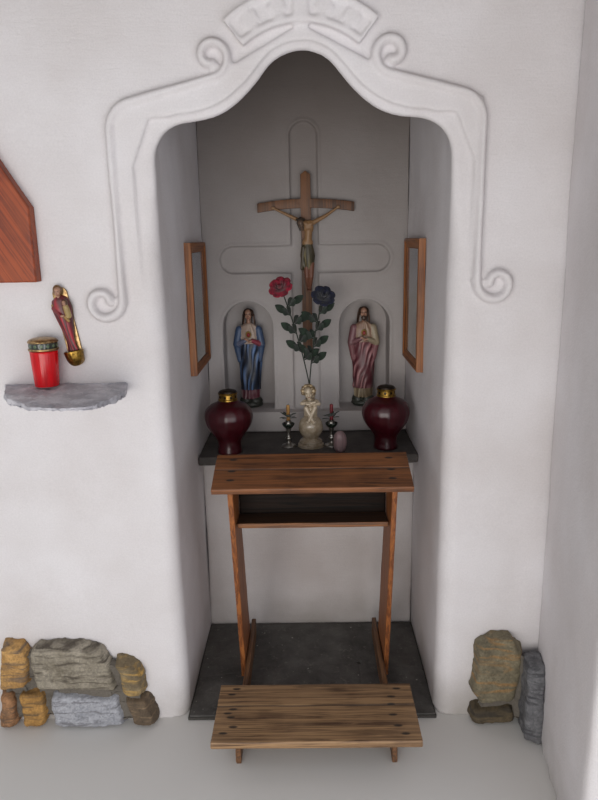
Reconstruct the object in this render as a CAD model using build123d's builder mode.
from build123d import *
import math
import os

os.makedirs("parts", exist_ok=True)

# The wayside shrine stands on the ground at Z 0. X 0 is the centre line of its niche,
# Y 0 the face of its front wall, and +Y runs into the wall. All sizes are in millimetres.

# Masonry body
body_half = 1050.0
body_depth = 1200.0
niche_half = 400.0
niche_depth = 800.0
niche_height = 2200.0
ceiling_thick = 150.0
eaves_height = niche_height + ceiling_thick
jamb_radius = 50.0

# Ogee head of the niche
head_depth = 90.0
rim_depth = 25.0
rear_splay = 45.0
spring_height = 1700.0
apex_height = 1978.0
dome_radius = 118.0
dome_angle = 50.0
shoulder_height = 1810.0
haunch_radius = 108.0
haunch_bulge = 1.4
haunch_dip = 0.06
head_inset = 5.0
head_round = 15.0

# Stucco moulding round the niche
band_relief = 15.0
band_foot = 2.0
band_fade = 260.0
band_set = 18.0
band_ease = 120.0
band_slope = 14.0
ridge_half = 13.0
ridge_relief = 28.0
ridge_corner = 70.0
scroll_shrink = 0.78
scroll_quarters = 4
upper_scroll = 46.0
lower_scroll = 50.0
left_ridge_x = 505.0
right_ridge_x = 470.0
upper_eye_x = 236.0
upper_eye_z = 1958.0
left_lower_z = 1351.0
right_lower_z = 1385.0
eye_radius = 16.0
eye_relief = 25.0

# Cartouche over the apex
cartouche_z = 1801.0
cartouche_inner = 234.0
cartouche_outer = 313.0
cartouche_sweep = 39.0
cartouche_relief = 30.0
cartouche_rim = 14.0
cartouche_sunk = 10.0
cartouche_rib = 36.0
rosette_angles = (-28.0, -12.5, 12.5, 28.0)
rosette_relief = 7.0
petal_count = 6
petal_radius = 8.0
petal_reach = 14.0

# Back wall of the niche
cross_arm = 105.0
cross_half = 332.0
cross_arm_z = 1426.0
cross_top = 1878.0
cross_sunk = 12.0
recess_half = 100.0
recess_x = 233.0
recess_top = 1265.0
recess_sunk = 110.0
lip_wide = 8.0
lip_proud = 4.0
ledge_height = 825.0
ledge_depth = 50.0

# Altar and floor
floor_thick = 15.0
floor_nose = 15.0
altar_front = 530.0
slab_front = 440.0
slab_top = 741.0
slab_thick = 35.0
slab_chamfer = 2.0

# Wing wall on the right
wing_corner = 710.0
wing_length = 600.0
wing_turn = 8.2
wing_radius = 25.0

# Roof
roof_pitch = 32.0
plate_heel = 70.0
gable_depth = 250.0
front_overhang = 760.0
rear_overhang = 160.0
side_overhang = 170.0
beam_wide = 120.0
beam_high = 150.0
deck_thick = 28.0
shingle_thick = 40.0
shingle_courses = 7
barge_high = 190.0
barge_thick = 28.0
ridge_board_wide = 170.0
ridge_board_thick = 24.0

# Crucifix
crucifix_x = 6.0
post_wide = 38.0
post_thick = 20.0
post_foot = 1055.0
post_top = 1738.0
post_point = 14.0
bar_half = 184.0
bar_high = 34.0
bar_z = 1634.0
bar_drop = 15.0
figure_set = 16.0

# Pictures on the side walls
frame_y = 570.0
frame_wide = 340.0
frame_high = 450.0
frame_bottom = 1048.0
frame_thick = 25.0
frame_rail = 34.0
frame_bevel = 9.0
pane_set = 8.0
pane_thick = 6.0

# Slate shelf let into the front wall, with its outline seen from above
shelf_top = 1118.0
shelf_thick = 33.0
shelf_chip = 3.0
shelf_outline = (
    (-870.0, 0.0), (-833.0, -95.0), (-788.0, -181.0), (-724.0, -241.0), (-686.0, -285.0), (-601.0, -301.0),
    (-542.0, -294.0), (-519.0, -265.0), (-493.0, -156.0), (-490.0, -95.0), (-504.0, -42.0), (-512.0, 0.0),
)

# Gabled board of two mitred planks on the front wall
gable_board_x = -889.0
gable_board_half = 160.0
gable_board_foot = 1403.0
gable_board_side = 1602.0
gable_board_slope = 59.0
gable_board_thick = 40.0
gable_board_round = 6.0
plank_high = 394.0
joint_wide = 3.0
joint_deep = 5.0

# Kneeler
kneeler_x = 12.0
desk_half = 304.0
desk_front_z = 783.0
desk_slope = 16.0
desk_deep = 188.0
desk_thick = 20.0
desk_round = 4.0
board_thick = 18.0
side_half = 257.0
side_inset = 14.0
side_back_y = 400.0
side_foot_front = 185.0
kneel_half = 303.0
kneel_front = 252.0
kneel_back = 6.0
kneel_top = 115.0
kneel_thick = 25.0
kneel_round = 5.0
runner_front = 206.0
runner_back = 440.0
shelf_board_z = 620.0
shelf_board_front = 80.0
back_board_y = 165.0

# Gold-capped glass lamps on the altar slab
lamp_left = (-288.0, 500.0)
lamp_right = (290.0, 530.0)
lamp_body = 88.0
lamp_high = 196.0

# Vase with a seated child on a ball, and the roses in the tube behind it
vase_x = 12.0
vase_y = 560.0
tube_set = 26.0
tube_radius = 19.0
tube_bore = 15.5
tube_foot = 90.0
tube_floor = 186.0
tube_high = 192.0
stem_radius = 2.5
stem_cross = 5.0
stem_seat = 0.2
stem_share = 0.97
rose_bloom = 42.0
rose_flat = 0.8
red_bloom = (-93.0, 620.0, 1335.0)
blue_bloom = (66.0, 620.0, 1318.0)
leaf_half = (17.0, 4.0, 24.0)
leaf_reach = 24.0
stalk_radius = 1.6
leaf_places = ((0.42, -1), (0.52, 1), (0.66, -1), (0.78, 1))

# Turned candlesticks with their small candles, and the votive light beside them
stick_left = (-72.0, 560.0)
stick_right = (90.0, 560.0)
candle_small = 6.5
candle_small_high = 58.0
votive_place = (118.0, 484.0)

# Statues in the arched recesses
statue_y = 850.0

# Grave candle on the shelf, and the stoup on the wall
grave_x = -727.0
grave_y = -44.0
grave_foot = 33.0
grave_round = 5.0
grave_radius = 38.0
grave_high = 100.0
stoup_x = -646.0
stoup_bottom = 1168.0
stoup_tilt = 9.5
stoup_high = 222.0
stoup_half = 20.0
stoup_corner = 18.0
stoup_plate = 10.0
stoup_set = 18.0
basin_radius = 27.0
basin_wall = 3.5
basin_floor = 10.0

# Boulders set in the render at the foot of the wall, by the corners of their outlines
stone_proud = 50.0
stone_taper = 10.0
stone_gap = 4.0
stone_round = 9.0
left_stones = (
    ((-967, 302), (-905, 294), (-878, 255), (-890, 150), (-988, 134)),
    ((-877, 273), (-855, 297), (-780, 299), (-702, 291), (-648, 268), (-623, 224), (-608, 124), (-866, 139)),
    ((-636, 266), (-622, 247), (-542, 219), (-525, 190), (-522, 108), (-595, 115), (-605, 191)),
    ((-988, 129), (-951, 123), (-931, 94), (-943, 0), (-1002, 0)),
    ((-928, 132), (-842, 131), (-836, 48), (-860, 0), (-920, 0)),
    ((-823, 124), (-609, 116), (-600, 60), (-582, 0), (-820, 0), (-829, 74)),
    ((-601, 111), (-522, 101), (-492, 33), (-488, 0), (-574, 0), (-592, 60)),
)
right_stones = (
    ((511, 273), (552, 310), (619, 313), (656, 253), (654, 176), (636, 80), (530, 66), (499, 113)),
    ((502, 56), (632, 70), (644, 0), (498, 0)),
)
corner_stone = ((8, 0), (140, 0), (152, 80), (153, 174), (125, 252), (60, 262), (8, 228))
corner_stone_thick = 46.0

# Outlines of the turned pieces: radius and height up their axis
lamp_profile = (
    (0.50, 0.0), (0.50, 0.06), (0.47, 0.15), (0.49, 0.24), (0.62, 0.34), (0.90, 0.52), (1.0, 0.70),
    (0.96, 0.81), (0.80, 0.90), (0.45, 0.97), (0.38, 1.0),
)
lamp_cap_profile = [
    (32, 0), (36, 2), (36, 6), (33, 8), (33, 24), (36, 26), (36, 30), (31, 35), (15, 41), (6, 43),
]
vase_profile = [
    (49, 0), (49, 11), (46, 13), (43, 14), (43, 21), (40, 23), (37, 24), (37, 29), (28, 32), (38, 46),
    (44, 60), (46, 75), (44, 90), (37, 104), (24, 114), (10, 119),
]
stick_profile = [
    (27, 0), (27, 4), (21, 8), (9, 14), (7, 24), (12, 32), (7, 40), (6, 56), (9, 66), (12, 72), (22, 84),
    (23, 90), (17, 91), (14, 94), (11, 102),
]
votive_profile = [(13, 0), (18, 5), (23, 22), (24.5, 40), (22, 58), (16, 71), (6, 77)]
grave_cap_profile = [
    (38, 0), (41, 2), (41, 6), (38, 8), (38, 21), (41, 23), (41, 27), (36, 31), (22, 35), (8, 37),
]

basin_outer = [(4, 0), (14, 4), (24, 22), (basin_radius, 40), (basin_radius, 44)]
basin_inner = [(6, 0), (18, 12), (basin_radius - basin_wall, 30), (basin_radius - basin_wall, 44)]

# Rings of the modelled figures: height, half width, half depth, shift to the side and set back
rock_rings = ((0, 52, 36, 0, 0), (16, 50, 35, 2, 0), (34, 46, 33, 0, 0), (50, 38, 29, 0, 0))
robe_rings = (
    (46, 37, 28, 0, 0), (80, 37, 27, 0, 0), (150, 39, 26, 1, 0), (205, 41, 25, 2, 0), (240, 40, 24, 0, 0),
    (285, 43, 24, 0, 0), (320, 46, 21, 0, 0), (338, 36, 17, 0, 0), (348, 13, 12, 0, 0), (366, 10, 10, 0, 0),
)
mantle_rings = ((70, 41, 16, 0, 14), (160, 45, 17, 1, 13), (262, 58, 18, 0, 9), (330, 50, 17, 0, 6))
hair_rings = ((318, 26, 12, 0, 10), (350, 27, 15, 0, 7), (384, 25, 20, 0, 4), (402, 17, 14, 0, 2))
statue_head = (0, -6, 384)
head_half = (18, 21, 25)
statue_limbs = (((42, 2, 326), (54, -6, 262), 15, 14), ((54, -6, 262), (9, -33, 284), 14, 7))
heart_place = (0, -25, 306)
heart_half = (8, 7, 10)
trunk_foot = 1478.0
trunk_rings = (
    (0, 17, 12, 9, 0), (20, 15, 11, 9, 0), (50, 20, 13, 9, 0), (78, 24, 13, 9, 0), (92, 15, 9, 9, 0),
)
loin_foot = 1384.0
loin_rings = (
    (0, 15, 12, 2, 0), (18, 26, 15, 5, 0), (55, 31, 17, 5, 0), (84, 25, 15, 5, 0), (102, 18, 13, 5, 0),
)
corpus_head = (-11, -8, 1592)
corpus_head_half = (14, 15, 18)
corpus_limbs = (
    ((9, 0, 1556), (-11, -8, 1592), 9, 8),
    ((27, 0, 1562), (75, 4, 1586), 9, 7),
    ((75, 4, 1586), (120, 9, 1616), 7, 5),
    ((-9, 0, 1562), (-57, 4, 1586), 9, 7),
    ((-57, 4, 1586), (-120, 9, 1616), 7, 5),
    ((18, 0, 1410), (17, -9, 1360), 13, 9),
    ((17, -9, 1360), (12, 8, 1312), 9, 6),
    ((0, 0, 1410), (1, -9, 1360), 13, 9),
    ((1, -9, 1360), (6, 8, 1312), 9, 6),
    ((-11, -8, 1470), (-19, -6, 1388), 9, 5),
)
child_rings = (
    (108, 26, 22, 0, 4), (120, 25, 20, 0, 2), (145, 22, 17, 0, 0), (168, 25, 16, 0, 0), (180, 15, 12, 0, 0),
    (186, 9, 9, 0, 0), (196, 8, 8, 0, 0),
)
child_head = (-5, -3, 206)
child_head_half = (22, 23, 24)
child_limbs = (
    ((22, -2, 174), (31, -14, 168), 10, 8),
    ((31, -14, 168), (-9, -31, 171), 8, 6),
    ((12, 0, 122), (15, -24, 155), 13, 10),
    ((15, -24, 155), (-6, -42, 108), 9, 6),
)
stoup_rings = (
    (46, 15, 13, 0, 0), (74, 12, 12, 0, 0), (120, 21, 15, 0, 0), (166, 30, 16, 0, 0), (188, 24, 14, 0, 0),
    (198, 8, 8, 0, 0),
)
stoup_head = (0, -4, 212)
stoup_head_half = (11, 13, 15)
stoup_child = (15, -16, 178)
stoup_child_half = (8, 9, 10)
stoup_limb = ((14, -6, 140), (15, -14, 170), 10, 8)


def keep(piece, name):
    """Label a finished piece and write it under its own name."""
    piece.part.label = name
    export_step(piece.part, f"parts/{name}.step")


def upright(depth):
    """The upright plane at a depth behind the front wall's face, seen from the front."""
    return Plane.XZ.offset(-depth)


def block(x0, x1, y0, y1, z0, z1):
    """A plain rectangular solid between two corners, joined to the part being made."""
    with Locations(((x0 + x1) / 2, (y0 + y1) / 2, (z0 + z1) / 2)):
        Box(x1 - x0, y1 - y0, z1 - z0)


def turned(axis_x, axis_y, base_z, profile, smooth=False):
    """A solid of revolution on an upright axis, from its outline of radius and height."""
    with BuildPart(mode=Mode.PRIVATE) as body:
        with BuildSketch(Plane.XZ):
            with BuildLine():
                edge = Spline(profile) if smooth else Polyline(profile)
                Polyline(edge @ 1, (0, profile[-1][1]), (0, profile[0][1]), edge @ 0)
            make_face()
        revolve(axis=Axis.Z)
    return Pos(axis_x, axis_y, base_z) * body.part


def draped(centre_x, centre_y, base_z, rings):
    """A body lofted through ovals: height, half width, half depth, shift and set of each."""
    with BuildPart(mode=Mode.PRIVATE) as body:
        for height, half_wide, half_deep, shift, set_back in rings:
            with BuildSketch(Plane.XY.offset(height)):
                with Locations((shift, set_back)):
                    Ellipse(half_wide, half_deep)
        loft()
    return Pos(centre_x, centre_y, base_z) * body.part


def limb(start, end, start_radius, end_radius):
    """A round tapering limb between two points, with a rounded far end."""
    start = Vector(start)
    end = Vector(end)
    with BuildPart(mode=Mode.PRIVATE) as body:
        with BuildSketch(Plane(origin=start, z_dir=end - start)):
            Circle(start_radius)
        with BuildSketch(Plane(origin=end, z_dir=end - start)):
            Circle(end_radius)
        loft()
        with Locations(end):
            Sphere(end_radius)
    return body.part


def turned_to(side, start, end, start_radius, end_radius):
    """One limb's joints and radii, moved to the given side of a figure."""
    return (side * start[0], *start[1:]), (side * end[0], *end[1:]), start_radius, end_radius


def ball(centre, half_x, half_y, half_z):
    """An egg-shaped solid round a centre."""
    with BuildPart(mode=Mode.PRIVATE) as body:
        Sphere(1)
        scale(by=(half_x, half_y, half_z))
    return Pos(*centre) * body.part


def opening_face(bottom, grow=0.0):
    """The niche opening: straight jambs, rounded haunches and a bell-shaped ogee head."""
    turn = math.radians(dome_angle)
    dome_z = apex_height - dome_radius
    reach = dome_radius + grow
    jamb_x = niche_half - head_inset + grow
    with BuildSketch() as opening:
        with BuildLine():
            foot = Line((0, bottom), (jamb_x, bottom))
            jamb = Line(foot @ 1, (jamb_x, spring_height))
            haunch = Spline(
                jamb @ 1,
                (jamb_x - haunch_radius, shoulder_height + grow),
                tangents=[(0, 1), (-1, haunch_dip)],
                tangent_scalars=[haunch_bulge] * 2,
            )
            dome_end = (reach * math.sin(turn), dome_z + reach * math.cos(turn))
            Spline(haunch @ 1, dome_end, tangents=[(-1, haunch_dip), (-math.cos(turn), math.sin(turn))])
            dome = CenterArc((0, dome_z), reach, 90 - dome_angle, dome_angle)
            Line(dome @ 1, foot @ 0)
        make_face()
        mirror(about=Plane.YZ)
    return opening.sketch


# Piers: the solid masonry on each side of the niche, with softly rounded jambs
pier_sides = {"left_pier": -1, "right_pier": 1}
for pier_name, side in pier_sides.items():
    with BuildPart() as pier:
        x_near, x_far = sorted((side * niche_half, side * body_half))
        block(x_near, x_far, 0, body_depth, 0, spring_height)
        arris = pier.edges().filter_by(Axis.Z).sort_by_distance((side * niche_half, 0, 0))[0]
        fillet(arris, jamb_radius)
        block(x_near, x_far, head_depth, body_depth, spring_height, eaves_height)
    keep(pier, pier_name)

# Front wall over the springing: a thin rim with the ogee head, splayed wider behind it
with BuildPart() as arch_head:
    for start, end, splay in ((0, rim_depth, 0), (rim_depth, head_depth, rear_splay)):
        with BuildSketch(upright(start)):
            with Locations((0, (spring_height + eaves_height) / 2)):
                Rectangle(2 * body_half, eaves_height - spring_height)
            add(opening_face(spring_height - jamb_radius, splay), mode=Mode.SUBTRACT)
        extrude(amount=start - end)
    front_edges = arch_head.edges().group_by(Axis.Y)[0]
    head_edges = front_edges.filter_by(lambda edge: spring_height < edge.center().Z < eaves_height)
    fillet(head_edges.filter_by(lambda edge: abs(edge.center().X) < niche_half), head_round)
keep(arch_head, "arch_head")

# Ceiling of the niche chamber
with BuildPart() as niche_ceiling:
    block(-niche_half, niche_half, head_depth, niche_depth, niche_height, eaves_height)
keep(niche_ceiling, "niche_ceiling")


def cross_face(grow=0.0):
    """Outline of the sunk cross, its two bars with rounded ends."""
    wide = cross_arm + 2 * grow
    with BuildSketch() as face:
        with Locations((0, (ledge_height + cross_top) / 2)):
            SlotOverall(cross_top - ledge_height + wide, wide, rotation=90)
        with Locations((0, cross_arm_z)):
            SlotOverall(2 * (cross_half + grow), wide)
        with Locations((0, ledge_height)):
            Rectangle(2 * niche_half, cross_top, align=(Align.CENTER, Align.MIN), mode=Mode.INTERSECT)
    return face.sketch


def recess_face(grow=0.0):
    """Outlines of the two round-headed recesses on the ledge."""
    spring = recess_top - recess_half
    with BuildSketch() as face:
        with Locations((-recess_x, ledge_height), (recess_x, ledge_height)):
            Rectangle(2 * (recess_half + grow), spring - ledge_height, align=(Align.CENTER, Align.MIN))
        with Locations((-recess_x, spring), (recess_x, spring)):
            Circle(recess_half + grow)
    return face.sketch


# Back wall with the sunk cross and the two small recesses, each edged by a thin raised lip
with BuildPart() as niche_back_wall:
    block(-niche_half, niche_half, niche_depth, body_depth, 0, eaves_height)
    with BuildSketch(upright(niche_depth)):
        add(cross_face(lip_wide))
        add(recess_face(lip_wide))
    extrude(amount=lip_proud)
    with BuildSketch(upright(niche_depth - lip_proud)):
        add(cross_face())
    extrude(amount=-cross_sunk - lip_proud, mode=Mode.SUBTRACT)
    with BuildSketch(upright(niche_depth - lip_proud)):
        add(recess_face())
    extrude(amount=-recess_sunk - lip_proud, mode=Mode.SUBTRACT)
keep(niche_back_wall, "niche_back_wall")

# White ledge along the foot of the back wall
with BuildPart() as ledge:
    block(-niche_half, niche_half, niche_depth - ledge_depth, niche_depth, slab_top, ledge_height)
keep(ledge, "ledge")

# Floor slab of the niche, laid to the altar block
with BuildPart() as niche_floor:
    block(-niche_half, niche_half, -floor_nose, altar_front, 0, floor_thick)
keep(niche_floor, "niche_floor")

# Altar block and the slate slab on it
with BuildPart() as altar_block:
    block(-niche_half, niche_half, altar_front, niche_depth, 0, slab_top - slab_thick)
keep(altar_block, "altar_block")

with BuildPart() as altar_slab:
    block(-niche_half, niche_half, slab_front, niche_depth, slab_top - slab_thick, slab_top)
    chamfer(altar_slab.edges().filter_by(Axis.X).group_by(Axis.Y)[0], slab_chamfer)
keep(altar_slab, "altar_slab")

# Wing wall that comes forward on the right
wing_lead = wing_length * math.tan(math.radians(wing_turn))
with BuildPart() as wing_wall:
    with BuildSketch():
        with BuildLine():
            Polyline(
                (wing_corner, 0),
                (wing_corner - wing_lead, -wing_length),
                (body_half, -wing_length),
                (body_half, 0),
                close=True,
            )
        make_face()
    extrude(amount=eaves_height)
    fillet(wing_wall.edges().filter_by(Axis.Z).group_by(Axis.Y)[0], wing_radius)
keep(wing_wall, "wing_wall")


def scroll_paths(side, ridge_x, lower_z):
    """Centre lines of the ridge on one side: up over the shoulder and down to the foot, each
    curling into a scroll of quarter turns that shrink towards its eye."""
    slope = math.radians(band_slope)
    scroll_start = (
        side * (upper_eye_x - upper_scroll * math.sin(slope)),
        upper_eye_z - upper_scroll * math.cos(slope),
    )
    corner_z = scroll_start[1] - (ridge_x - abs(scroll_start[0])) * math.tan(slope)
    corner_run = ridge_corner * math.tan(math.radians(90 - band_slope) / 2)
    middle = (side * ridge_x, corner_z - corner_run)
    with BuildLine() as upper:
        corner = JernArc(middle, (0, 1), ridge_corner, side * (90 - band_slope))
        run = Line(corner @ 1, scroll_start)
        for quarter in range(scroll_quarters):
            run = JernArc(run @ 1, run % 1, upper_scroll * scroll_shrink**quarter, -side * 90)
    with BuildLine() as lower:
        run = Line(middle, (side * ridge_x, lower_z))
        for quarter in range(scroll_quarters):
            run = JernArc(run @ 1, run % 1, lower_scroll * scroll_shrink**quarter, side * 90)
    return Plane.XZ * upper.wire(), Plane.XZ * lower.wire()


def button(place, radius, proud):
    """A round button on the front wall's face."""
    with BuildPart(mode=Mode.PRIVATE) as body:
        Sphere(1)
        scale(by=(radius, proud, radius))
        split(bisect_by=Plane.XZ, keep=Keep.TOP)
    return Pos(place.X, 0, place.Z) * body.part


# Stucco moulding: a broad band round the opening that fades out at its foot, edged by a ridge
# that curls into four scrolls with a button in the eye of each
with BuildPart() as stucco_surround:
    shoulder_drop = math.tan(math.radians(band_slope))
    scroll_foot = upper_eye_z - upper_scroll
    jamb_face = niche_half + jamb_radius
    with BuildSketch(upright(0)):
        with BuildLine():
            Polyline(
                (-left_ridge_x, left_lower_z),
                (-left_ridge_x, scroll_foot - (left_ridge_x - upper_eye_x) * shoulder_drop),
                (-upper_eye_x, scroll_foot),
                (0, cartouche_z + cartouche_inner),
                (upper_eye_x, scroll_foot),
                (right_ridge_x, scroll_foot - (right_ridge_x - upper_eye_x) * shoulder_drop),
                (right_ridge_x, right_lower_z),
                close=True,
            )
        band = make_face()
        fillet(band.vertices().sort_by_distance((-left_ridge_x, apex_height))[0], ridge_corner)
        fillet(band.vertices().sort_by_distance((right_ridge_x, apex_height))[0], ridge_corner)
        add(opening_face(0, band_set), mode=Mode.SUBTRACT)
        with BuildLine():
            Polyline(
                (-niche_half, 0),
                (-jamb_face, 0),
                (-jamb_face, spring_height),
                (-niche_half, spring_height + band_ease),
                (niche_half, spring_height + band_ease),
                (jamb_face, spring_height),
                (jamb_face, 0),
                close=True,
            )
        make_face(mode=Mode.SUBTRACT)
    extrude(amount=band_relief)
    for start_x, end_x, lower_z in ((-left_ridge_x, 0, left_lower_z), (0, right_ridge_x, right_lower_z)):
        with BuildSketch(Plane.YZ.offset(start_x)):
            with BuildLine():
                Polyline(
                    (-band_foot, lower_z),
                    (-band_relief, lower_z + band_fade),
                    (-band_relief, lower_z),
                    close=True,
                )
            make_face()
        extrude(amount=end_x - start_x, mode=Mode.SUBTRACT)
    for side, ridge_x, lower_z in ((-1, left_ridge_x, left_lower_z), (1, right_ridge_x, right_lower_z)):
        for path in scroll_paths(side, ridge_x, lower_z):
            with BuildSketch(Plane(path @ 0, x_dir=(0, -1, 0), z_dir=path % 0)):
                with BuildLine():
                    EllipticalCenterArc((0, 0), ridge_relief, ridge_half, start_angle=-90, arc_size=180)
                    Line((0, ridge_half), (0, -ridge_half))
                make_face()
            sweep(path=path)
            add(button(path @ 1, eye_radius, eye_relief))
keep(stucco_surround, "stucco_surround")


def cartouche_face(shrink=0.0):
    """The ring-shaped field over the apex, from end to end."""
    with BuildSketch() as field:
        with Locations((0, cartouche_z)):
            Circle(cartouche_outer - shrink)
            Circle(cartouche_inner + shrink, mode=Mode.SUBTRACT)
        reach = 2 * cartouche_outer
        sweep_angle = math.radians(cartouche_sweep)
        spread = reach * math.tan(sweep_angle) - shrink / math.cos(sweep_angle)
        with BuildLine():
            Polyline(
                (0, cartouche_z),
                (-spread, cartouche_z + reach),
                (spread, cartouche_z + reach),
                close=True,
            )
        make_face(mode=Mode.INTERSECT)
    return field.sketch


# Cartouche of two sunk fields parted by a rib, each with two plain six-petalled rosettes
with BuildPart() as cartouche:
    with BuildSketch(upright(0)):
        add(cartouche_face())
    extrude(amount=cartouche_relief)
    with BuildSketch(upright(-cartouche_relief)):
        add(cartouche_face(cartouche_rim))
        with Locations((0, cartouche_z + cartouche_outer)):
            Rectangle(cartouche_rib, cartouche_outer, mode=Mode.SUBTRACT)
    extrude(amount=-cartouche_sunk, mode=Mode.SUBTRACT)
    field_middle = (cartouche_inner + cartouche_outer) / 2
    with BuildSketch(upright(cartouche_sunk - cartouche_relief)):
        for angle in rosette_angles:
            across = field_middle * math.sin(math.radians(angle))
            up = field_middle * math.cos(math.radians(angle))
            with Locations((across, cartouche_z + up)):
                Circle(petal_radius)
                with PolarLocations(petal_reach, petal_count):
                    Circle(petal_radius)
    extrude(amount=rosette_relief)
keep(cartouche, "cartouche")

# Gable walls under the roof
beam_half = beam_wide / 2
roof_front = -front_overhang
roof_back = body_depth + rear_overhang


def roof_line(x):
    """Height of the underside of the roof boards."""
    return eaves_height + plate_heel + (body_half - abs(x)) * math.tan(math.radians(roof_pitch))


for gable_name, near, far in (
    ("front_gable", 0, gable_depth),
    ("rear_gable", body_depth - gable_depth, body_depth),
):
    with BuildPart() as gable:
        with BuildSketch(upright(near)):
            with BuildLine():
                Polyline(
                    (beam_wide - body_half, eaves_height),
                    (beam_wide - body_half, roof_line(body_half - beam_wide)),
                    (0, roof_line(0)),
                    (body_half - beam_wide, roof_line(body_half - beam_wide)),
                    (body_half - beam_wide, eaves_height),
                    close=True,
                )
            make_face()
            with Locations((0, roof_line(0))):
                Rectangle(beam_wide, 2 * beam_high, mode=Mode.SUBTRACT)
        extrude(amount=near - far)
    keep(gable, gable_name)

# Ridge beam and wall plates, their tops bevelled to the slope of the roof
with BuildPart() as ridge_beam:
    with BuildSketch(upright(roof_front)):
        with BuildLine():
            Polyline(
                (-beam_half, roof_line(0) - beam_high),
                (-beam_half, roof_line(beam_half)),
                (0, roof_line(0)),
                (beam_half, roof_line(beam_half)),
                (beam_half, roof_line(0) - beam_high),
                close=True,
            )
        make_face()
    extrude(amount=roof_front - roof_back)
keep(ridge_beam, "ridge_beam")

for plate_name, side in (("left_wall_plate", -1), ("right_wall_plate", 1)):
    inner = body_half - beam_wide
    with BuildPart() as wall_plate:
        with BuildSketch(upright(roof_front)):
            with BuildLine():
                Polyline(
                    (side * inner, eaves_height),
                    (side * inner, roof_line(inner)),
                    (side * body_half, roof_line(body_half)),
                    (side * body_half, eaves_height),
                    close=True,
                )
            make_face()
        extrude(amount=roof_front - roof_back)
    keep(wall_plate, plate_name)

# Roof boards and the shingle courses on them, one slope on each side of the ridge
slope_run = math.radians(roof_pitch)
eaves_x = body_half + side_overhang
for slope_name, side in (("left", -1), ("right", 1)):
    rise = math.tan(slope_run)
    with BuildPart() as roof_boards:
        with BuildSketch(upright(roof_front)):
            with BuildLine():
                Polyline(
                    (0, roof_line(0)),
                    (side * eaves_x, roof_line(eaves_x)),
                    (side * eaves_x, roof_line(eaves_x) + deck_thick / math.cos(slope_run)),
                    (0, roof_line(0) + deck_thick / math.cos(slope_run)),
                    close=True,
                )
            make_face()
        extrude(amount=roof_front - roof_back)
    keep(roof_boards, f"{slope_name}_roof_boards")

    with BuildPart() as shingles:
        course = eaves_x / shingle_courses
        base_rise = deck_thick / math.cos(slope_run)
        butt = shingle_thick / math.cos(slope_run)
        with BuildSketch(upright(roof_front)):
            with BuildLine():
                corners = [(0, roof_line(0) + base_rise)]
                corners.append((side * eaves_x, roof_line(eaves_x) + base_rise))
                for number in range(shingle_courses, 0, -1):
                    low_x, high_x = number * course, (number - 1) * course
                    corners.append((side * low_x, roof_line(low_x) + base_rise + butt))
                    corners.append((side * high_x, roof_line(high_x) + base_rise + butt / 2))
                Polyline(corners, close=True)
            make_face()
        extrude(amount=roof_front - roof_back)
    keep(shingles, f"{slope_name}_shingles")

# Ridge boards that cap the two slopes
with BuildPart() as ridge_boards:
    with BuildSketch(upright(roof_front)):
        cap_z = roof_line(0) + (deck_thick + shingle_thick) / math.cos(slope_run)
        with BuildLine():
            cap_drop = ridge_board_wide * math.tan(slope_run)
            Polyline(
                (0, cap_z),
                (ridge_board_wide, cap_z - cap_drop),
                (ridge_board_wide, cap_z - cap_drop + ridge_board_thick),
                (0, cap_z + ridge_board_thick),
                (-ridge_board_wide, cap_z - cap_drop + ridge_board_thick),
                (-ridge_board_wide, cap_z - cap_drop),
                close=True,
            )
        make_face()
    extrude(amount=roof_front - roof_back)
keep(ridge_boards, "ridge_boards")

# Bargeboards that close the roof's front and rear edges
for barge_name, near in (("front_bargeboards", roof_front - barge_thick), ("rear_bargeboards", roof_back)):
    with BuildPart() as bargeboards:
        top = (deck_thick + shingle_thick) / math.cos(slope_run)
        with BuildSketch(upright(near)):
            with BuildLine():
                Polyline(
                    (-eaves_x, roof_line(eaves_x) + top),
                    (0, roof_line(0) + top),
                    (eaves_x, roof_line(eaves_x) + top),
                    (eaves_x, roof_line(eaves_x) + top - barge_high),
                    (0, roof_line(0) + top - barge_high),
                    (-eaves_x, roof_line(eaves_x) + top - barge_high),
                    close=True,
                )
            make_face()
        extrude(amount=-barge_thick)
    keep(bargeboards, barge_name)

# Crucifix hung on the back wall
cross_back = niche_depth - lip_proud
with BuildPart() as crucifix:
    with BuildSketch(upright(cross_back)):
        with BuildLine():
            Polyline(
                (crucifix_x - post_wide / 2, post_foot),
                (crucifix_x - post_wide / 2, post_top),
                (crucifix_x, post_top + post_point),
                (crucifix_x + post_wide / 2, post_top),
                (crucifix_x + post_wide / 2, post_foot),
                close=True,
            )
        make_face()
    extrude(amount=post_thick)
    with BuildSketch(upright(cross_back)):
        with BuildLine():
            top_arc = ThreePointArc(
                (crucifix_x - bar_half, bar_z + bar_high / 2 - bar_drop),
                (crucifix_x, bar_z + bar_high / 2),
                (crucifix_x + bar_half, bar_z + bar_high / 2 - bar_drop),
            )
            end_line = Line(top_arc @ 1, top_arc @ 1 - Vector(0, bar_high))
            low_arc = ThreePointArc(
                end_line @ 1,
                (crucifix_x, bar_z - bar_high / 2),
                (crucifix_x - bar_half, bar_z - bar_high / 2 - bar_drop),
            )
            Line(low_arc @ 1, top_arc @ 0)
        make_face()
    extrude(amount=post_thick)
keep(crucifix, "crucifix")

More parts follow.
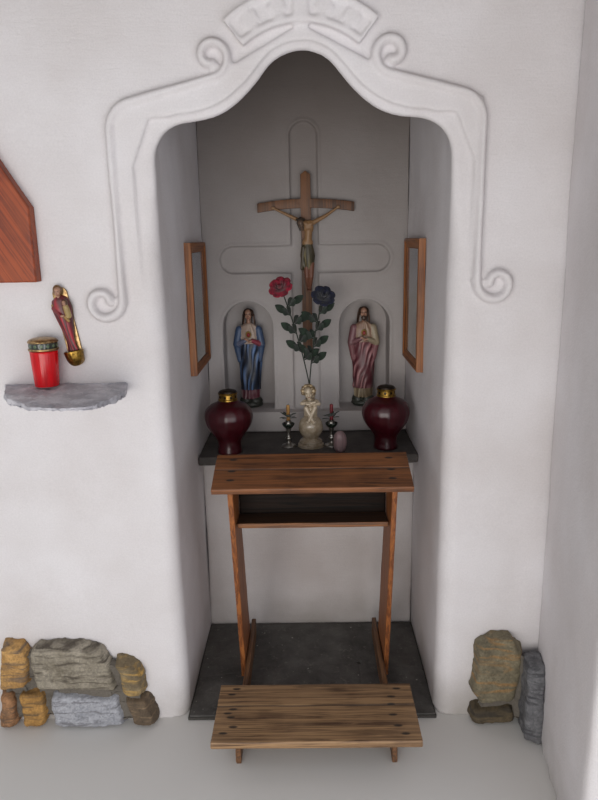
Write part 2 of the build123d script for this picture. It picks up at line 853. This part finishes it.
# Framed pictures hung on the side walls of the niche
for picture_name, side in (("left", -1), ("right", 1)):
    wall = Plane(origin=(side * niche_half, frame_y, frame_bottom + frame_high / 2),
                 x_dir=(0, 1, 0), z_dir=(-side, 0, 0))
    with BuildPart() as picture_frame:
        with BuildSketch(wall):
            Rectangle(frame_wide, frame_high)
        extrude(amount=frame_thick)
        with BuildSketch(wall):
            Rectangle(frame_wide - 2 * frame_rail, frame_high - 2 * frame_rail)
        extrude(amount=frame_thick, mode=Mode.SUBTRACT)
        front = picture_frame.faces().filter_by(Axis.X).sort_by(Axis.X)[0 if side > 0 else -1]
        chamfer(front.inner_wires()[0].edges(), frame_bevel)
    keep(picture_frame, f"{picture_name}_frame")
    with BuildPart() as picture_pane:
        with BuildSketch(wall.offset(pane_set)):
            Rectangle(frame_wide - 2 * frame_rail, frame_high - 2 * frame_rail)
        extrude(amount=pane_thick)
    keep(picture_pane, f"{picture_name}_picture")

# Slate shelf let into the front wall on the left, its edges chipped away
with BuildPart() as slate_shelf:
    with BuildSketch(Plane.XY.offset(shelf_top - shelf_thick)):
        with BuildLine():
            Polyline(shelf_outline, close=True)
        make_face()
    extrude(amount=shelf_thick)
    for level in (0, -1):
        rim = slate_shelf.edges().group_by(Axis.Z)[level]
        chamfer(rim.filter_by(lambda edge: edge.center().Y < -1), shelf_chip)
keep(slate_shelf, "slate_shelf")

# Gabled board: two planks mitred on the centre line over a small filling piece
board_rise = gable_board_half * math.tan(math.radians(gable_board_slope))
board_top = gable_board_side + board_rise
with BuildPart() as gabled_board:
    with BuildSketch(upright(0)):
        with BuildLine():
            Polyline(
                (gable_board_x - gable_board_half, gable_board_foot),
                (gable_board_x - gable_board_half, gable_board_side),
                (gable_board_x, board_top),
                (gable_board_x + gable_board_half, gable_board_side),
                (gable_board_x + gable_board_half, gable_board_foot),
                close=True,
            )
        make_face()
    extrude(amount=gable_board_thick)
    fillet(gabled_board.edges().group_by(Axis.Y)[0], gable_board_round)
    joint_foot = board_top - plank_high
    joint_drop = joint_foot - gable_board_foot
    joint_x = joint_drop / math.tan(math.radians(gable_board_slope))
    with BuildSketch(upright(-gable_board_thick)):
        with Locations((gable_board_x, board_top - plank_high / 2)):
            Rectangle(joint_wide, plank_high)
        for side in (-1, 1):
            middle = (gable_board_x + side * joint_x / 2, joint_foot - joint_drop / 2)
            with Locations(Location(middle, -side * gable_board_slope)):
                Rectangle(math.hypot(joint_x, joint_drop), joint_wide)
    extrude(amount=-joint_deep, mode=Mode.SUBTRACT)
keep(gabled_board, "gabled_board")

# Carved figure on the crucifix: trunk, bowed head, raised arms, knotted loincloth and legs
figure_y = cross_back - post_thick
with BuildPart() as corpus:
    with Locations((crucifix_x, figure_y - figure_set, 0)):
        add(draped(0, 0, trunk_foot, trunk_rings))
        add(draped(0, 0, loin_foot, loin_rings))
        for joints in corpus_limbs:
            add(limb(*joints))
        add(ball(corpus_head, *corpus_head_half))
    split(bisect_by=Plane.XZ.offset(-figure_y), keep=Keep.TOP)
keep(corpus, "corpus")

# Painted plaster statues in the two recesses, each standing on a rock: robe, mantle, long hair,
# one hand laid under the heart on the breast
for statue_name, side in (("left_statue", -1), ("right_statue", 1)):
    with BuildPart() as statue:
        with Locations((side * recess_x, statue_y, ledge_height)):
            for rings in (rock_rings, robe_rings, mantle_rings, hair_rings):
                add(draped(0, 0, 0, rings))
            add(ball(statue_head, *head_half))
            add(ball(heart_place, *heart_half))
            for arm_side in (-1, 1):
                for joints in statue_limbs:
                    add(limb(*turned_to(arm_side, *joints)))
    keep(statue, statue_name)

# Red glass lamps with pierced gold caps
for lamp_name, (lamp_x, lamp_y) in (("left", lamp_left), ("right", lamp_right)):
    with BuildPart() as lamp_glass:
        glass = [(radius * lamp_body, height * lamp_high) for radius, height in lamp_profile]
        add(turned(lamp_x, lamp_y, slab_top, glass, smooth=True))
    keep(lamp_glass, f"{lamp_name}_lamp_glass")
    with BuildPart() as lamp_cap:
        add(turned(lamp_x, lamp_y, slab_top + lamp_high, lamp_cap_profile))
    keep(lamp_cap, f"{lamp_name}_lamp_cap")

# Vase: a child seated on a ball over a ringed foot, with the tube for the stems behind it
with BuildPart() as vase:
    with Locations((vase_x, vase_y, slab_top)):
        add(turned(0, 0, 0, vase_profile))
        add(draped(0, 0, 0, child_rings))
        add(ball(child_head, *child_head_half))
        for side in (-1, 1):
            for joints in child_limbs:
                add(limb(*turned_to(side, *joints)))
        add(turned(0, tube_set, tube_foot, [(tube_radius, 0), (tube_radius, tube_high - tube_foot)]))
        bore = [(tube_bore, 0), (tube_bore, tube_high - tube_floor)]
        add(turned(0, tube_set, tube_floor, bore), mode=Mode.SUBTRACT)
keep(vase, "vase_figure")

# Roses of cloth and wire with paired leaves, their stems crossed in the tube of the vase
for rose_name, bloom, side in (("red_rose", red_bloom, 1), ("blue_rose", blue_bloom, -1)):
    with BuildPart() as rose:
        root = Vector(
            vase_x + side * stem_cross,
            vase_y + tube_set + side * stem_cross,
            slab_top + tube_floor + stem_radius + stem_seat,
        )
        rise = Vector(bloom) - root
        add(limb(root + rise * stem_share, root, stem_radius, stem_radius))
        add(ball(bloom, rose_bloom, rose_bloom, rose_bloom * rose_flat))
        for share, leaf_side in leaf_places:
            joint = root + rise * share
            leaf = joint + Vector(leaf_side * leaf_reach, 0, leaf_reach / 2)
            add(limb(joint, leaf, stalk_radius, stalk_radius))
            add(ball(leaf, *leaf_half))
    keep(rose, rose_name)

# Turned candlesticks with their small candles
for stick_name, (stick_x, stick_y) in (("left", stick_left), ("right", stick_right)):
    with BuildPart() as candlestick:
        add(turned(stick_x, stick_y, slab_top, stick_profile))
    keep(candlestick, f"{stick_name}_candlestick")
    with BuildPart() as small_candle:
        wax = [(candle_small, 0), (candle_small, candle_small_high)]
        add(turned(stick_x, stick_y, slab_top + stick_profile[-1][1], wax))
    keep(small_candle, f"{stick_name}_small_candle")

# Small closed votive light beside the vase
with BuildPart() as small_votive:
    add(turned(*votive_place, slab_top, votive_profile, smooth=True))
keep(small_votive, "small_votive")

# Grave candle on the slate shelf, wider at the top, with a rimmed cap
with BuildPart() as grave_candle:
    glass = [(grave_foot - grave_round, 0), (grave_foot, grave_round), (grave_radius, grave_high)]
    add(turned(grave_x, grave_y, shelf_top, glass))
keep(grave_candle, "grave_candle")

with BuildPart() as grave_candle_cap:
    add(turned(grave_x, grave_y, shelf_top + grave_high, grave_cap_profile))
keep(grave_candle_cap, "grave_candle_cap")

# Wall stoup, hung a little askew: a robed figure with a child over a small bowl
stoup_place = Location((stoup_x, -stoup_set, stoup_bottom), (0, -stoup_tilt, 0))
with BuildPart() as stoup:
    with Locations(stoup_place):
        add(draped(0, 0, 0, stoup_rings))
        add(limb(*stoup_limb))
        add(ball(stoup_head, *stoup_head_half))
        add(ball(stoup_child, *stoup_child_half))
    split(bisect_by=Plane.XZ.offset(stoup_plate), keep=Keep.TOP)
    tilt = math.radians(stoup_tilt)
    middle = (stoup_x - stoup_high / 2 * math.sin(tilt), stoup_bottom + stoup_high / 2 * math.cos(tilt))
    with BuildSketch(upright(0)):
        with Locations(Location(middle, stoup_tilt)):
            RectangleRounded(2 * stoup_half, stoup_high, stoup_corner)
    extrude(amount=stoup_plate)
keep(stoup, "stoup_figure")

with BuildPart() as stoup_basin:
    add(turned(0, 0, 0, basin_outer))
    add(turned(0, 0, basin_floor, basin_inner), mode=Mode.SUBTRACT)
    split(bisect_by=Plane.XZ.offset(stoup_plate - stoup_set), keep=Keep.TOP)
stoup_basin.part = stoup_place * stoup_basin.part
keep(stoup_basin, "stoup_bowl")

# Boulders that show through the render at the foot of the wall, and one at the wing wall's foot
for group_name, group in (("left_base_stones", left_stones), ("right_base_stones", right_stones)):
    with BuildPart() as stones:
        for outline in group:
            with BuildSketch(upright(0)):
                with BuildLine():
                    Polyline(outline, close=True)
                make_face()
                offset(amount=-stone_gap, kind=Kind.INTERSECTION)
                fillet(vertices(), stone_round)
            extrude(amount=stone_proud, taper=stone_taper)
        if group is right_stones:
            turn = math.radians(wing_turn)
            wing_face = Plane(
                origin=(wing_corner, 0, 0),
                x_dir=(-math.sin(turn), -math.cos(turn), 0),
                z_dir=(-math.cos(turn), math.sin(turn), 0),
            )
            with BuildSketch(wing_face):
                with BuildLine():
                    Polyline(corner_stone, close=True)
                make_face()
                fillet(vertices(), stone_round)
            extrude(amount=corner_stone_thick, taper=stone_taper)
    keep(stones, group_name)

# Kneeler: sloping desk on two side boards, with a book shelf, runners and a kneeling board
slope = math.radians(desk_slope)
desk_back_y = desk_deep * math.cos(slope)
desk_plane = Plane(
    origin=(kneeler_x, 0, desk_front_z),
    x_dir=(1, 0, 0),
    z_dir=(0, -math.sin(slope), math.cos(slope)),
)
with BuildPart() as kneeler_desk:
    with BuildSketch(desk_plane):
        Rectangle(2 * desk_half, desk_deep, align=(Align.CENTER, Align.MIN))
    extrude(amount=-desk_thick)
    fillet(kneeler_desk.edges().group_by(Axis.Y)[0], desk_round)
keep(kneeler_desk, "kneeler_desk")


def under_desk(y):
    """Height of the desk's underside at a depth."""
    return desk_front_z + y * math.tan(slope) - desk_thick / math.cos(slope)


for board_name, side in (("left", -1), ("right", 1)):
    outer = kneeler_x + side * side_half
    with BuildPart() as side_board:
        with BuildSketch(Plane.YZ.offset(outer)):
            with BuildLine():
                Polyline(
                    (side_inset, under_desk(side_inset)),
                    (desk_back_y - side_inset, under_desk(desk_back_y - side_inset)),
                    (side_back_y, floor_thick),
                    (side_foot_front, floor_thick),
                    close=True,
                )
            make_face()
        extrude(amount=-side * board_thick)
    keep(side_board, f"kneeler_{board_name}_side")
    with BuildPart() as runner:
        with BuildSketch(Plane.YZ.offset(outer - side * board_thick)):
            with BuildLine():
                Polyline(
                    (-runner_front, 0),
                    (-runner_front, kneel_top - kneel_thick),
                    (runner_back, kneel_top - kneel_thick),
                    (runner_back, floor_thick),
                    (-floor_nose, floor_thick),
                    (-floor_nose, 0),
                    close=True,
                )
            make_face()
        extrude(amount=-side * board_thick)
    keep(runner, f"kneeler_{board_name}_runner")

with BuildPart() as kneeling_board:
    block(kneeler_x - kneel_half, kneeler_x + kneel_half, -kneel_front, kneel_back,
          kneel_top - kneel_thick, kneel_top)
    fillet(kneeling_board.edges().filter_by(Axis.X).group_by(Axis.Y)[0], kneel_round)
keep(kneeling_board, "kneeling_board")

side_inner = side_half - board_thick
with BuildPart() as book_shelf:
    block(kneeler_x - side_inner, kneeler_x + side_inner, shelf_board_front, back_board_y,
          shelf_board_z, shelf_board_z + board_thick)
keep(book_shelf, "book_shelf")

with BuildPart() as back_board:
    with BuildSketch(Plane.YZ.offset(kneeler_x - side_inner)):
        with BuildLine():
            back_far = back_board_y + board_thick
            Polyline(
                (back_board_y, shelf_board_z),
                (back_board_y, under_desk(back_board_y)),
                (back_far, under_desk(back_far)),
                (back_far, shelf_board_z),
                close=True,
            )
        make_face()
    extrude(amount=2 * side_inner)
keep(back_board, "kneeler_back_board")
